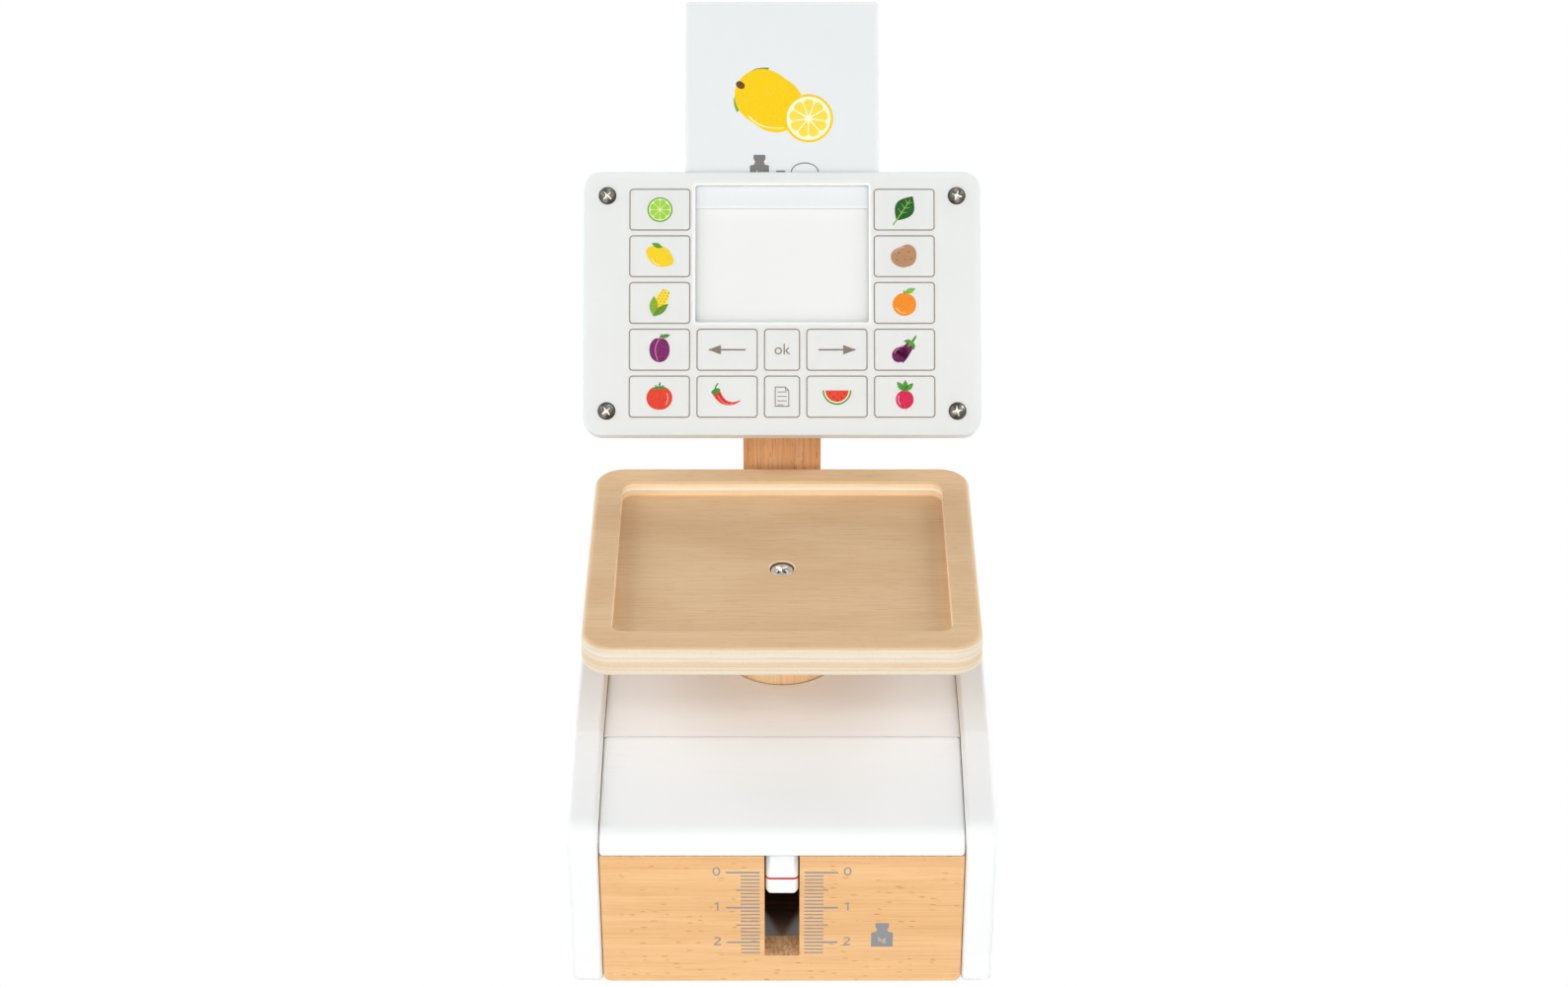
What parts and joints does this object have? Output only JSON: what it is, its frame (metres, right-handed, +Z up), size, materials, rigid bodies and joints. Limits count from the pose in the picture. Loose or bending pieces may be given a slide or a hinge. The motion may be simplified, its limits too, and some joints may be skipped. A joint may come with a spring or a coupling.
{
  "type": "wooden toy shop scale",
  "caption": "Wooden toy shop scale: sprung tray over a closed housing, pointer in a slot, tilted key panel on a post and a sliding picture card.",
  "frame": {"origin": "middle of the housing's footprint, on the surface that it stands on", "axes": "+X the scale's right-hand side as seen from the front, +Y the back, +Z up"},
  "size_m": [0.165, 0.2764, 0.2987],
  "materials": {
    "white_paint": "opaque white satin paint",
    "beech": "clear matt oil",
    "plywood": "sanded, clear matt oil",
    "frosted_plate": "frosted sheet, printed on the face",
    "card": "printed laminated board",
    "steel": "zinc plated"
  },
  "bodies": {
    "housing": {"base_board": "white_paint", "side_left": "white_paint", "side_right": "white_paint", "front_panel": "beech", "hood": "white_paint", "top_panel": "white_paint", "back_panel": "white_paint", "cleat_left": "beech", "cleat_right": "beech", "spring_seat": "beech", "spring": "steel", "post": "beech", "post_screws": "steel", "display_board": "white_paint", "display_plate": "frosted_plate", "display_screws": "steel", "board_screws": "steel"},
    "weigher": {"tray": "plywood", "tray_screw": "steel", "plunger": "beech", "stop_collar": "beech", "pointer_arm": "plywood", "arm_screws": "steel", "pointer": "white_paint", "pointer_dowel": "beech", "spring_cap": "beech"},
    "card": {"card": "card"}
  },
  "joints": [
    {"name": "tray_slide", "type": "slide", "parent": "housing", "child": "weigher", "axis": [0, 0, -1], "range_m": [0, 0.0305], "stiffness_N_per_m": 560, "springref_m": -0.0075, "deforming": ["spring"]},
    {"name": "card_slide", "type": "slide", "parent": "housing", "child": "card", "axis": [0, 0.6032, 0.7976], "range_m": [-0.0495, 0.025]}
  ]
}
